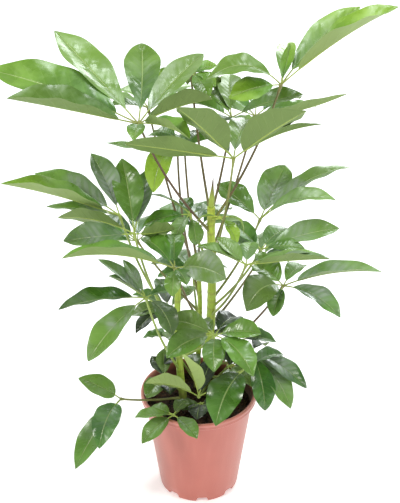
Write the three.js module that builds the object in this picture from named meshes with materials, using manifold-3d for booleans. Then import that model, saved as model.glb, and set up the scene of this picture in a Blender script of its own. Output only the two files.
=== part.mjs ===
// A potted umbrella plant: a plastic nursery pot, its soil, three stems and their compound leaves.
// Millimetres, +Z up. The origin is the middle of the pot's flat underside.
// The plant's front is -Y, its right is +X.

import * as THREE from "three";
import { mergeVertices } from "three/addons/utils/BufferGeometryUtils.js";
import Module from "manifold-3d";

const wasm = await Module();
wasm.setup();

// ---- driving dimensions ----

const GAP = 0.3; // between pieces that touch

const POT_HEIGHT = 182;
const RIM_RADIUS = 95; // outer, at the rim band
const BASE_RADIUS = 65; // outer, at the underside
const WALL = 2.2;
const FLOOR = 2.5; // thickness of the floor
const FLOOR_HEIGHT = 9; // the floor's underside stands on the foot ring
const FOOT_RING_WIDTH = 5;
const CENTRE_FOOT_RADIUS = 12; // the pad under the middle of the floor
const FOOT_TAPER = 1.5; // the feet widen by that much up to the floor
const BASE_ROUNDING = 4;
const RIM_BAND_HEIGHT = 11;
const RIM_OVERHANG = 6.5; // rim band beyond the wall under it
const RIM_LIP_WIDTH = 5; // across the rim's top
const RIM_ROUNDING = 1.2;
const GROOVE_DEPTH = 0.8; // two grooves round the rim band
const GROOVE_WIDTH = 1.2;
const GROOVE_SPACING = 2.6;
const POT_SEGMENTS = 36;

const NOTCH_COUNT = 8;
const NOTCH_WIDTH = 20;
const NOTCH_HEIGHT = 8;
const NOTCH_REACH = 9; // how far a notch cuts in from the underside's edge
const FIRST_NOTCH_AZIMUTH = -85; // just right of the front

const SOIL_TOP = POT_HEIGHT - 25;
const SOIL_CROWN = 3; // the soil is that much higher in the middle

const STEM_SIDES = 8;
const ROOT_DEPTH = 35; // stems go this far into the soil
const BUD_BOTTOM = 520.3; // a gap above the tall stem's top
const BUD_LENGTH = 54;
const BUD_BASE_SHARE = 0.75; // of the stem's radius
const BUD_SWELL = 1.2; // at half its length
const BUD_LEAN = 3; // its point is that far to the right

const PETIOLE_RADIUS = 2;
const PETIOLE_SIDES = 6;
const PETIOLE_STEPS = 5;
const PETIOLE_BOW_OUT = 0.064; // shares of the petiole's length
const PETIOLE_BOW_DOWN = 0.048;
const KNUCKLE_RADIUS = 3.4; // where the leaflets meet

const LEAFLET_WIDTH_BASE = 16; // usual width is this and a share of the length
const LEAFLET_WIDTH_SHARE = 0.2;
const LEAFLET_BOW = 0.1; // arch of a level leaflet, as a share of its length
const LEAFLET_BOW_PER_DEGREE = 0.0025; // less on a rising one, more on a drooping one
const LEAFLET_BOW_RANGE = [0.02, 0.2];
const LEAFLET_FOLD = 0.35; // margins above the midrib, as a share of half the width
const LEAF_THICKNESS = 2; // at the midrib
const STALKLET_HALF_WIDTH = 1.1;

// Stations along a leaflet: [share of its length, share of half its width]. Below the second
// station it is only a stalklet.
const LEAFLET_STATIONS = [[0, 0], [0.15, 0], [0.38, 0.9], [0.7, 0.88], [1, 0]];

// A leaflet that would touch something in place already is swung aside by these, in degrees.
const SWINGS = [0, 4, -4, 8, -8, 12, -12, 16, -16, 20, -20, 24, -24];
const MOST_SWING = 28; // sideways and up or down together

// ---- colours ----

const TERRACOTTA = { color: 0xd3847a, roughness: 0.45, metalness: 0 };
const PEAT = { color: 0x3a2a20, roughness: 0.95, metalness: 0 };
const STEM_GREEN = { color: 0x9db34a, roughness: 0.5, metalness: 0 };
const LEAF_GREEN = { color: 0x3f7d2c, roughness: 0.3, metalness: 0 };
const NEW_GREEN = { color: 0xb5cf4a, roughness: 0.4, metalness: 0 };

// ---- the plant's skeleton ----

// Each stem: [radius at the base, radius at the top, [points from the soil line up]].
const STEMS = {
  stem_tall: [8, 6, [[10, 20, 157], [17, 16, 260], [20, 12, 330], [21, 10, 400], [19, 8, 470], [19, 6, 520]]],
  stem_front: [6.5, 4.5, [[-23, -18, 157], [-29, -17, 215], [-33, -18, 290], [-34, -20, 340], [-31, -20, 415]]],
  stem_back: [4.5, 3.5, [[-4, 42, 157], [1, 38, 260], [2, 36, 330], [0, 36, 390]]],
};

// Each compound leaf: [name, stem, height where its petiole leaves the stem, place of the knuckle,
// leaflets as [compass, rise, length, lean, width, bow]]. Compass 0 is right and 90 is to the back, a
// rise is above the horizontal, and a lean turns the upper face towards the front. Angles are in
// degrees. A width is a share of the usual one, and a bow replaces the usual arch; both may be left out.
const LEAVES = [
  ["leaf_upper_left", "stem_tall", 475, [-85, -60, 690],
    [[164, 14, 233, 22, 1.13, 0.02], [-168, 17, 190, 0, 1, 0], [134, 26, 202, -5, 1.15, 0],
      [90, 21, 166, 0, 1.12, 0.03], [56, 17, 172, 12, 0.85, 0.05], [30, 5, 122, -45, 1, 0.05],
      [-38, 2, 92, -25, 1.2], [-96, -3, 50, 0]]],
  ["leaf_young_upper", "stem_back", 340, [-32, 44, 616],
    [[-117, -35, 95, 25, 1.1, 0.2], [-165, 4, 110, 10, 0.5, -0.09], [135, -5, 50, 0, 1.2]]],
  ["leaf_crown_back", "stem_tall", 498, [-12, 110, 694],
    [[20, 9, 44, 20, 0.9], [-150, -24, 62, 25, 1.6], [-60, -20, 58, 25, 1.1], [-30, -16, 45, 0, 1],
      [140, -30, 80, 0], [95, -35, 80, 0], [50, -40, 80, 0]]],
  ["leaf_crown_middle", "stem_tall", 505, [50, 80, 635],
    [[90, 13, 110, 0], [113, 17, 90, 0], [-115, 10, 60, 0], [-8, 16, 180, -30, 0.8, -0.06],
      [5, 17, 114, 10, 1], [-63, 10, 60, 0], [150, 5, 90, 0]]],
  ["leaf_crown_front", "stem_tall", 420, [50, -70, 640],
    [[-142, 47, 147, -40, 1.3], [-166, 19, 162, -62, 0.9, 0.02], [-40, 42, 165, -45, 1.25],
      [-15, 29, 142, -20, 1, 0.07], [77, 2, 110, 0], [120, 5, 90, 0]]],
  ["leaf_top_right", "stem_tall", 490, [120, 20, 715],
    [[29, 22, 220, -42], [47, 21, 196, 20, 0.8], [75, 37, 71, 15, 0.6], [82, 9, 120, 0, 0.75],
      [-165, -9, 80, 20, 1.5, 0.05], [178, 3, 109, 22, 1.1, 0.24]]],
  ["leaf_slender_back", "stem_back", 385, [-22, 80, 585],
    [[61, -5, 70, 0], [145, 0, 70, 0], [100, -8, 60, 0], [25, 0, 70, 0]]],
  ["leaf_right_upper", "stem_tall", 350, [95, 30, 485],
    [[67, 22, 117, 0, 1.3], [30, 16, 173, -5, 0.78, 0.13], [-2, 17, 121, 10, 0.9, 0.14],
      [145, 25, 90, 10, 1.35]]],
  ["leaf_right_middle", "stem_tall", 335, [95, -20, 460],
    [[-8, 6, 67, 10], [16, 8, 128, 20, 1, 0.03], [122, 3, 90, 10], [-90, -20, 40, 0],
      [55, 2, 76, 10, 1.2]]],
  ["leaf_right_front", "stem_tall", 320, [70, -90, 475],
    [[140, 25, 62, 0], [-11, 11, 126, -25, 1.1, 0.02], [178, 22, 79, -10], [80, 5, 60, 0],
      [5, 7, 110, -20, 0.8, 0.05]]],
  ["leaf_right_lower", "stem_tall", 235, [128, -60, 420],
    [[-6, 13, 150, -10], [-145, -16, 72, 25, 1.7, 0.3], [-30, -15, 100, 10], [-112, -34, 52, 0],
      [130, 6, 66, 10, 1.5], [60, 0, 70, 0]]],
  ["leaf_drooping_right", "stem_tall", 215, [85, -10, 265],
    [[-73, -44, 97, 0, 1.1], [-45, -38, 110, 10, 1, 0.12], [-25, -24, 105, 10, 1, 0.1], [60, -20, 50, 0],
      [-98, -40, 40, 0]]],
  ["leaf_low_right", "stem_tall", 225, [65, 0, 280],
    [[10, -10, 62, 10], [77, -9, 60, 0], [-110, -20, 50, 0], [150, 0, 50, 0]]],
  ["leaf_low_glossy", "stem_tall", 195, [74, -70, 275],
    [[-120, -27, 108, 10, 1.5], [100, -10, 70, 0], [40, -15, 80, 0]]],
  ["leaf_low_centre", "stem_front", 260, [25, -90, 350],
    [[165, 12, 76, 30, 1.35], [120, -8, 60, 0], [-12, 10, 72, 20, 1.25], [-150, -8, 86, 25, 1.25],
      [-92, -22, 66, 0, 1.2], [-54, -13, 98, 10, 1.2], [60, -5, 70, 0, 1.2]]],
  ["leaf_low_pale", "stem_tall", 175, [0, -50, 205],
    [[175, 14, 88, -70, 1.1, 0.1], [-142, 70, 110, 0, 1.1, 0.04], [65, 37, 70, 0], [25, 12, 80, 10]]],
  ["leaf_rim_front", "stem_front", 168, [-40, -78, 190],
    [[-160, 10, 65, 10, 0.8], [-135, -15, 72, 20, 1, 0.05], [-50, -12, 60, 10, 1, 0.07],
      [150, -12, 50, 0], [60, 5, 40, 0]]],
  ["leaf_left_upper", "stem_front", 320, [-118, -30, 525],
    [[-172, 21, 184, -12, 1, 0.03], [170, 2, 114, 0, 0.7, 0.05], [125, 43, 106, 0, 1.1],
      [152, 13, 154, 10, 1.1, 0.06]]],
  ["leaf_left_middle", "stem_front", 305, [-96, -50, 505],
    [[172, 9, 117, -60, 1.05], [-170, -1, 106, 30, 1.15, 0.02], [10, 3, 62, -70, 1.35, -0.03],
      [80, 27, 122, 10, 0.8], [103, 34, 122, 0, 1.15]]],
  ["leaf_left_front", "stem_tall", 285, [-35, -100, 475],
    [[-178, 7, 166, -20, 0.95, 0.09], [-15, -4, 78, 40, 1.6], [126, 13, 85, 0, 1.1], [90, 9, 80, 0],
      [-63, -10, 40, 0], [-95, -35, 45, 0]]],
  ["leaf_left_lower", "stem_front", 235, [-80, -70, 405],
    [[-170, -3, 133, 0, 1, 0.07], [-140, -31, 130, 20, 1, 0.09], [160, 23, 66, -25, 1.5], [140, 17, 103, 0, 0.6],
      [123, 27, 75, 0, 0.6], [-45, -35, 70, 10, 1.2], [20, 0, 50, 0]]],
  ["leaf_centre", "stem_tall", 410, [-13, 10, 505],
    [[-172, -11, 74, 25, 0.9, 0.06], [-125, -35, 48, 0], [40, 0, 60, 0], [-65, -35, 48, 0],
      [109, -9, 40, 0], [168, 23, 70, -28, 0.6, 0.12]]],
  ["young_leaf", "stem_tall", 500, [32, -16, 514],
    [[-60, -45, 48, 0, 0.9, 0.15], [172, -24, 42, 0, 0.3, 0.25], [-5, -36, 45, 0, 0.3, 0.35]]],
  ["leaf_over_rim", "stem_front", 180, [-124, -60, 208],
    [[173, 27, 76, 20, 1.25], [-132, -37, 131, 15, 0.95, 0.1], [-112, -25, 92, 15, 1.25, 0.16]]],
  ["leaf_behind_left", "stem_back", 230, [-50, 60, 300],
    [[-170, -5, 60, 20], [150, 5, 70, 0], [100, 5, 85, 0], [-140, -15, 70, 0], [50, 0, 70, 0]]],
  ["leaf_rim_left", "stem_front", 190, [-55, 10, 200],
    [[-120, -5, 58, 20, 1.2], [125, 25, 45, 0], [95, 35, 50, 0], [-60, 5, 55, 0, 1.2]]],
  ["leaf_soil_front", "stem_front", 167, [3, -32, 178],
    [[-98, -2, 42, 0, 1.3], [-45, 2, 42, 0, 1.3], [5, 5, 36, 0, 1.2], [-145, 2, 36, 0, 1.2]]],
  ["leaf_low_middle", "stem_tall", 175, [48, 34, 205],
    [[-84, -8, 72, 0], [-50, -8, 60, 10], [-12, -8, 72, 15], [22, -8, 65, 0], [62, -15, 75, 0],
      [115, -12, 70, 0]]],
  ["leaf_low_inner", "stem_back", 192, [-14, 48, 222],
    [[175, -30, 59, 20, 1.3], [130, -12, 72, 0], [90, -15, 75, 0], [50, -12, 70, 0], [-150, -5, 50, 20],
      [-60, 0, 45, 0]]],
  ["leaf_back_upper_left", "stem_back", 370, [-80, 160, 615],
    [[170, 5, 85, 0], [125, -4, 95, 0], [90, -5, 130, 0], [50, 0, 110, 0], [10, 5, 80, 0],
      [-150, 15, 70, 0]]],
  ["leaf_back_upper_right", "stem_tall", 440, [90, 160, 600],
    [[10, 5, 100, 0], [50, -5, 120, 0], [90, -5, 125, 0], [130, 0, 110, 0], [170, 10, 80, 0],
      [-30, 10, 80, 0]]],
  ["leaf_back_middle", "stem_back", 350, [0, 155, 400],
    [[15, 0, 80, 0], [55, -5, 95, 0], [95, -5, 100, 0], [135, 0, 95, 0], [175, 5, 70, 0]]],
  ["leaf_back_left", "stem_back", 310, [-100, 110, 400],
    [[165, 5, 80, 0], [130, -5, 110, 0], [90, -10, 110, 0], [50, -5, 90, 0], [-150, 10, 70, 0]]],
  ["leaf_back_right", "stem_tall", 300, [100, 110, 368],
    [[15, -10, 60, 0], [50, -8, 100, 0], [90, -10, 110, 0], [130, -5, 90, 0], [-15, 0, 50, 0]]],
  ["leaf_back_low", "stem_back", 270, [-10, 140, 320],
    [[25, -5, 65, 0], [70, -10, 90, 0], [110, -10, 100, 0], [150, -5, 85, 0], [-170, 0, 60, 0]]],
  ["leaf_low_back_right", "stem_back", 190, [60, 90, 232],
    [[0, -10, 60, 0], [45, -30, 60, 0], [90, -20, 85, 0], [135, -10, 60, 0]]],
  ["leaf_low_back_left", "stem_back", 166, [-50, 90, 225],
    [[175, -5, 45, 0], [135, -20, 55, 0], [95, -20, 85, 0], [50, -10, 60, 0]]],
];

// ---- solids ----

const UP = new THREE.Vector3(0, 0, 1);
const radians = THREE.MathUtils.degToRad;

/** A closed three.js geometry as a manifold solid. */
function solidOf(geometry) {
  const bare = geometry.clone();
  bare.deleteAttribute("normal");
  bare.deleteAttribute("uv");
  const merged = mergeVertices(bare, 1e-4);
  return new wasm.Manifold(new wasm.Mesh({
    numProp: 3,
    vertProperties: new Float32Array(merged.attributes.position.array),
    triVerts: new Uint32Array(merged.index.array),
  }));
}

/** A manifold solid as a three.js geometry. */
function geometryOf(solid) {
  const mesh = solid.getMesh();
  const geometry = new THREE.BufferGeometry();
  geometry.setAttribute("position", new THREE.BufferAttribute(new Float32Array(mesh.vertProperties), 3));
  geometry.setIndex(new THREE.BufferAttribute(new Uint32Array(mesh.triVerts), 1));
  geometry.computeVertexNormals();
  return geometry;
}

/** The solid of a profile of [radius, height] points turned about Z. */
function turned(profile, segments) {
  const points = profile.map(([radius, height]) => new THREE.Vector2(radius, height));
  return solidOf(new THREE.LatheGeometry(points, segments).rotateX(Math.PI / 2));
}

// ---- pot and soil ----

/** The outer radius of the pot's wall at a height, below the rim band. */
function wallRadius(height) {
  const top = RIM_RADIUS - RIM_OVERHANG;
  return BASE_RADIUS + (top - BASE_RADIUS) * (height / (POT_HEIGHT - RIM_BAND_HEIGHT));
}

/** The pot's section, from the middle of its underside, out, up the wall and down the inside. */
function potProfile() {
  const bandBottom = POT_HEIGHT - RIM_BAND_HEIGHT;
  const floorTop = FLOOR_HEIGHT + FLOOR;
  const inside = (height) => wallRadius(height) - WALL;
  const groove = (height) => [
    [RIM_RADIUS, height],
    [RIM_RADIUS - GROOVE_DEPTH, height + GROOVE_WIDTH / 2],
    [RIM_RADIUS, height + GROOVE_WIDTH],
  ];
  return [
    [0, 0],
    [CENTRE_FOOT_RADIUS, 0],
    [CENTRE_FOOT_RADIUS + FOOT_TAPER, FLOOR_HEIGHT],
    [BASE_RADIUS - FOOT_RING_WIDTH - FOOT_TAPER, FLOOR_HEIGHT],
    [BASE_RADIUS - FOOT_RING_WIDTH, 0],
    [BASE_RADIUS - BASE_ROUNDING / 2, 0],
    [wallRadius(BASE_ROUNDING), BASE_ROUNDING],
    [wallRadius(bandBottom), bandBottom],
    [RIM_RADIUS - RIM_ROUNDING, bandBottom],
    ...groove(bandBottom + GROOVE_WIDTH),
    ...groove(bandBottom + GROOVE_WIDTH + GROOVE_SPACING),
    [RIM_RADIUS, POT_HEIGHT - RIM_ROUNDING],
    [RIM_RADIUS - RIM_ROUNDING, POT_HEIGHT],
    [RIM_RADIUS - RIM_LIP_WIDTH, POT_HEIGHT],
    [inside(bandBottom), bandBottom],
    [inside(floorTop), floorTop],
    [0, floorTop],
  ];
}

/** A block that cuts one gap in the foot ring, at a compass bearing. */
function notch(compass) {
  const box = new THREE.BoxGeometry(2 * NOTCH_REACH, NOTCH_WIDTH, 2 * NOTCH_HEIGHT);
  box.translate(BASE_RADIUS, 0, 0).rotateZ(radians(compass));
  return solidOf(box);
}

function potSolid() {
  let pot = turned(potProfile(), POT_SEGMENTS);
  for (let i = 0; i < NOTCH_COUNT; i += 1) {
    pot = pot.subtract(notch(FIRST_NOTCH_AZIMUTH + (360 / NOTCH_COUNT) * i));
  }
  return pot;
}

/** The soil fills the pot up to its line, with a socket for each stem. */
function soilSolid(stemNames) {
  const bottom = FLOOR_HEIGHT + FLOOR + GAP;
  const radiusAt = (height) => wallRadius(height) - WALL - GAP;
  let soil = turned([
    [0, bottom],
    [radiusAt(bottom), bottom],
    [radiusAt(SOIL_TOP), SOIL_TOP],
    [radiusAt(SOIL_TOP) / 2, SOIL_TOP + SOIL_CROWN],
    [0, SOIL_TOP + SOIL_CROWN],
  ], POT_SEGMENTS);
  for (const name of stemNames) soil = soil.subtract(stemSolid(name, GAP));
  return soil;
}

// ---- stems ----

/** Where a stem's middle is at a height, and its radius there. */
function stemAt(name, height) {
  const [baseRadius, topRadius, points] = STEMS[name];
  const last = points[points.length - 1][2];
  let i = 1;
  while (i < points.length - 1 && points[i][2] < height) i += 1;
  const [from, to] = [points[i - 1], points[i]];
  const share = (height - from[2]) / (to[2] - from[2]);
  const middle = new THREE.Vector3(...from).lerp(new THREE.Vector3(...to), share);
  const along = (height - points[0][2]) / (last - points[0][2]);
  return { middle, radius: THREE.MathUtils.lerp(baseRadius, topRadius, along) };
}

/** A stem as a tapered tube, from its root to its top, grown outwards by a margin. */
function stemSolid(name, margin = 0) {
  const points = STEMS[name][2];
  const root = points[0][2] - ROOT_DEPTH - margin;
  const heights = [root, ...points.map((point) => point[2])];
  heights[heights.length - 1] += margin;
  const steps = heights.length - 1;
  const tube = new THREE.CylinderGeometry(1, 1, 1, STEM_SIDES, steps).rotateX(Math.PI / 2);
  const place = tube.attributes.position;
  for (let i = 0; i < place.count; i += 1) {
    const height = heights[Math.round((place.getZ(i) + 0.5) * steps)];
    const { middle, radius } = stemAt(name, height);
    const spread = radius + margin;
    place.setXYZ(i, middle.x + spread * place.getX(i), middle.y + spread * place.getY(i), height);
  }
  return solidOf(tube);
}

/** The pointed bud standing on the tall stem. */
function budSolid() {
  const { middle, radius } = stemAt("stem_tall", BUD_BOTTOM - GAP);
  const cone = new THREE.ConeGeometry(1, 1, STEM_SIDES, 2).rotateX(Math.PI / 2);
  const place = cone.attributes.position;
  for (let i = 0; i < place.count; i += 1) {
    const along = place.getZ(i) + 0.5;
    const swell = 1 + (BUD_SWELL - 1) * (1 - Math.abs(2 * along - 1));
    const spread = radius * BUD_BASE_SHARE * swell;
    place.setXYZ(
      i,
      middle.x + BUD_LEAN * along + spread * place.getX(i),
      middle.y + spread * place.getY(i),
      BUD_BOTTOM + BUD_LENGTH * along,
    );
  }
  return solidOf(cone);
}

// ---- leaves ----

/** The unit vector at a compass bearing and a rise above the horizontal. */
function bearing(compass, rise) {
  const [a, b] = [radians(compass), radians(rise)];
  return new THREE.Vector3(Math.cos(b) * Math.cos(a), Math.cos(b) * Math.sin(a), Math.sin(b));
}

/** The stalk of a compound leaf: a thin tube from the stem's middle to the knuckle, bowed outwards. */
function petioleSolid(stem, height, knuckle) {
  const start = stemAt(stem, height).middle;
  const end = new THREE.Vector3(...knuckle);
  const length = start.distanceTo(end);
  const outward = new THREE.Vector3(end.x - start.x, end.y - start.y, 0).normalize();
  const middle = start.clone().add(end).multiplyScalar(0.5)
    .addScaledVector(outward, PETIOLE_BOW_OUT * length)
    .addScaledVector(UP, -PETIOLE_BOW_DOWN * length);
  const section = new THREE.Shape();
  section.absarc(0, 0, PETIOLE_RADIUS, 0, 2 * Math.PI);
  const tube = new THREE.ExtrudeGeometry(section, {
    steps: PETIOLE_STEPS,
    curveSegments: PETIOLE_SIDES / 2,
    extrudePath: new THREE.QuadraticBezierCurve3(start, middle, end),
  });
  const ball = new THREE.OctahedronGeometry(KNUCKLE_RADIUS, 0).translate(...knuckle);
  return solidOf(tube).add(solidOf(ball));
}

/** The directions of a leaflet: along it, across its blade, and out of its upper face. */
function leafletFrame(compass, rise, lean) {
  const along = bearing(compass, rise);
  const level = bearing(compass + 90, 0);
  const arch = along.clone().cross(level);
  // a positive lean turns the upper face towards the front, whichever side the leaflet is on
  const roll = radians(lean * level.y);
  const across = level.clone().multiplyScalar(Math.cos(roll)).addScaledVector(arch, Math.sin(roll));
  return { along, arch, across, face: along.clone().cross(across) };
}

/** How much a leaflet arches when nothing else is said, as a share of its length. */
function usualBow(rise) {
  return THREE.MathUtils.clamp(LEAFLET_BOW - LEAFLET_BOW_PER_DEGREE * rise, ...LEAFLET_BOW_RANGE);
}

/** A leaflet: a thin, arched blade folded along its midrib, on a short stalklet. */
function leafletSolid(knuckle, compass, rise, length, lean, width = 1, bow = usualBow(rise)) {
  const { along, arch, across, face } = leafletFrame(compass, rise, lean);
  const halfWidth = (width * (LEAFLET_WIDTH_BASE + LEAFLET_WIDTH_SHARE * length)) / 2;
  const steps = LEAFLET_STATIONS.length - 1;
  // a four-sided cone has the corners that a blade needs: its point becomes the leaflet's tip, and its
  // ring at each step becomes the lens-shaped section at that station
  const blade = new THREE.ConeGeometry(1, 1, 4, steps);
  const place = blade.attributes.position;
  for (let i = 0; i < place.count; i += 1) {
    const step = Math.round((place.getY(i) + 0.5) * steps);
    const [share, fullness] = LEAFLET_STATIONS[step];
    const ringRadius = 1 - step / steps || 1;
    const sideways = -place.getX(i) / ringRadius;
    const upwards = place.getZ(i) / ringRadius;
    const half = Math.max(fullness * halfWidth, STALKLET_HALF_WIDTH);
    const lift = LEAFLET_FOLD * fullness * halfWidth * Math.abs(sideways);
    const point = new THREE.Vector3(...knuckle)
      .addScaledVector(along, length * share)
      .addScaledVector(arch, 4 * bow * length * share * (1 - share))
      .addScaledVector(across, half * sideways)
      .addScaledVector(face, lift + (LEAF_THICKNESS / 2) * upwards);
    place.setXYZ(i, point.x, point.y, point.z);
  }
  return solidOf(blade);
}

/** Whether two solids' boxes come within the gap of each other. */
function boxesMeet(a, b) {
  const [one, two] = [a.boundingBox(), b.boundingBox()];
  return [0, 1, 2].every((k) => one.min[k] - GAP < two.max[k] && two.min[k] - GAP < one.max[k]);
}

function isClear(solid, others) {
  return others.every((other) => !boxesMeet(solid, other) || solid.minGap(other, GAP) >= GAP);
}

/** A leaflet in its place, or swung aside a little where something is in its way. */
function seatedLeaflet(leaf, knuckle, [compass, rise, length, ...shape], others) {
  for (const turn of SWINGS) {
    for (const lift of SWINGS) {
      if (Math.abs(turn) + Math.abs(lift) > MOST_SWING) continue;
      const solid = leafletSolid(knuckle, compass + turn, rise + lift, length, ...shape);
      if (isClear(solid, others)) return solid;
    }
  }
  throw new Error(`${leaf}: no room for the leaflet at ${compass}`);
}

/** Every compound leaf as one solid each, none touching another. */
function leafSolids(fixed, stemNames) {
  const sockets = stemNames.map((name) => stemSolid(name, GAP));
  const petioles = LEAVES.map(([, stem, height, knuckle]) => {
    let petiole = petioleSolid(stem, height, knuckle);
    for (const socket of sockets) petiole = petiole.subtract(socket);
    return petiole;
  });
  const leaves = [...petioles];
  LEAVES.forEach(([name, , , knuckle, leaflets], i) => {
    const others = [...fixed, ...leaves.filter((leaf, k) => k !== i)];
    for (const leaflet of leaflets) {
      leaves[i] = leaves[i].add(seatedLeaflet(name, knuckle, leaflet, others));
    }
  });
  return leaves;
}

// ---- the plant ----

function meshOf(name, solid, look) {
  const mesh = new THREE.Mesh(geometryOf(solid), new THREE.MeshStandardMaterial(look));
  mesh.name = name;
  return mesh;
}

function pottedPlant() {
  const plant = new THREE.Group();
  const stemNames = Object.keys(STEMS);
  const pieces = [
    ["pot", potSolid(), TERRACOTTA],
    ["soil", soilSolid(stemNames), PEAT],
    ...stemNames.map((name) => [name, stemSolid(name), STEM_GREEN]),
    ["shoot_bud", budSolid(), NEW_GREEN],
  ];
  const leaves = leafSolids(pieces.map(([, solid]) => solid), stemNames);
  LEAVES.forEach(([name], i) => {
    pieces.push([name, leaves[i], name.startsWith("young") ? NEW_GREEN : LEAF_GREEN]);
  });
  for (const [name, solid, look] of pieces) plant.add(meshOf(name, solid, look));
  return plant;
}

export default pottedPlant();
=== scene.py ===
"""A potted umbrella plant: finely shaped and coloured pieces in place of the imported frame's plain ones.

The tables are in millimetres and degrees, as in the part's source. Everything built is in metres, +Z up,
with the plant's front towards -Y.
"""

import math
import random

import bpy
import numpy as np
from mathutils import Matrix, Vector, noise


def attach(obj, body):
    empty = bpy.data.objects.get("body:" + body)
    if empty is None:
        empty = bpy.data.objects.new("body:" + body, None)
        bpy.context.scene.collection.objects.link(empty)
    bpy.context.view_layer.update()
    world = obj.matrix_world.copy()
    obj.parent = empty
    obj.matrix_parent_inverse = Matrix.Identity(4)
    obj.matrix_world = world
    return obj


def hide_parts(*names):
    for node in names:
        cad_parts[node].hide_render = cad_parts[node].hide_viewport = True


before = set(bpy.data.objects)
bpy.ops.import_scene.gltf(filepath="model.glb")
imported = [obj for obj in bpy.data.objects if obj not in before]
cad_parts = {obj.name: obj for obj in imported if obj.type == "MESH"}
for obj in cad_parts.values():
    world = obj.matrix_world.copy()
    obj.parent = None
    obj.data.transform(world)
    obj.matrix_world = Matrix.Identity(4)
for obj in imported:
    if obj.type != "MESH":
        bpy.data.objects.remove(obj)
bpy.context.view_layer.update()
MM = 0.001

# ---- the pot and its soil, in mm ----

POT_HEIGHT = 182
RIM_RADIUS = 95  # outer, at the rim band
BASE_RADIUS = 65  # outer, at the underside
WALL = 2.2
FLOOR = 2.5  # thickness of the floor
FLOOR_HEIGHT = 9  # the floor's underside stands on the foot ring
FOOT_RING_WIDTH = 5
CENTRE_FOOT_RADIUS = 12
BASE_ROUNDING = 4
RIM_BAND_HEIGHT = 11
RIM_OVERHANG = 6.5  # rim band beyond the wall under it
RIM_LIP_WIDTH = 5  # across the rim's top
GROOVE_DEPTH = 0.5
GROOVE_HEIGHTS = (2.4, 5.2)  # of their middles, above the rim band's foot
GROOVE_HALF_WIDTH = 0.7
WALL_ROWS = 12
POT_SEGMENTS = 288

NOTCH_COUNT = 8
NOTCH_WIDTH = 20
NOTCH_HEIGHT = 8
NOTCH_CORNER = 0.22  # of half its width
NOTCH_ROUNDNESS = 0.6
FIRST_NOTCH_AZIMUTH = -85  # just right of the front

SOIL_TOP = 157
SOIL_CROWN = 3  # the soil is that much higher in the middle
SOIL_GAP = 0.4  # between the soil and the pot's wall
SOIL_RINGS = 44
SOIL_SEGMENTS = 132
SOIL_ROUGHNESS = 2.6  # how far the surface rises and falls
SOIL_SINK = 0.5
# The surface's lumps, from wide to fine: (waves per mm, height as a share of the roughness, layer of noise).
SOIL_LUMPS = ((0.05, 1, 3.1), (0.17, 0.6, 7.7), (0.5, 0.35, 1.3))
CRUMB_COUNT = 900
CRUMB_RADIUS = (0.7, 2.6)
CRUMB_SIDES = 6
CRUMB_RINGS = ((-0.8, 0.55), (-0.25, 1), (0.35, 0.92), (0.8, 0.45))  # (height, width), shares of its radius
CRUMB_STRETCH = (1, 1.9)
CRUMB_UNEVENNESS = (0.75, 1.15)
CRUMB_HEIGHT = 0.8  # of its width
CRUMB_LIFT = 0.3  # of its radius, above the surface

# ---- the plant's skeleton, in mm and degrees ----

# Each stem: (radius at the base, radius at the top, points from the soil line up).
STEMS = {
    "stem_tall": (8, 6, [
        [10, 20, 157], [17, 16, 260], [20, 12, 330], [21, 10, 400], [19, 8, 470], [19, 6, 520]]),
    "stem_front": (6.5, 4.5, [
        [-23, -18, 157], [-29, -17, 215], [-33, -18, 290], [-34, -20, 340], [-31, -20, 415]]),
    "stem_back": (4.5, 3.5, [[-4, 42, 157], [1, 38, 260], [2, 36, 330], [0, 36, 390]]),
}
STEM_RINGS = 150
STEM_SIDES = 20
STEM_DOME = 0.8  # how far a stem's rounded top goes past its end
ROOT_DEPTH = 35
SCAR_SWELL = 0.06  # of the stem's radius
SCAR_REACH = 2.2
# Scars of lost leaves start above the soil line, stop below the stem's top and keep clear of petioles.
LOST_LEAF_START = 14
LOST_LEAF_SPACING = (26, 50)
LOST_LEAF_STOP = 30
LOST_LEAF_CLEARANCE = 9
FRESH_HEIGHT = 400  # above the soil line, where a stem's green is freshest

BUD_BOTTOM = 520.3
BUD_LENGTH = 54
BUD_LEAN = 3  # its point is that far to the right
BUD_SHEATHS = ((0, 1.0, 1.0), (2.2, 0.6, 0.62), (4.3, 0.55, 0.45))  # (turn in radians, thickness, length)
BUD_RADIUS_SHARE = 0.68  # of the stem's radius
BUD_SPREAD = 0.32
BUD_SWELL = 0.35
BUD_POINT_RADIUS = 0.25
BUD_TAPER = 0.8  # below 1 keeps it full until near its point
BUD_BROWN_START = 0.3  # how far along it
BUD_BROWNING = 2.4  # how quickly it turns brown from there on
BUD_YOUTH = 0.8
BUD_RINGS = 24
BUD_SIDES = 14

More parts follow.
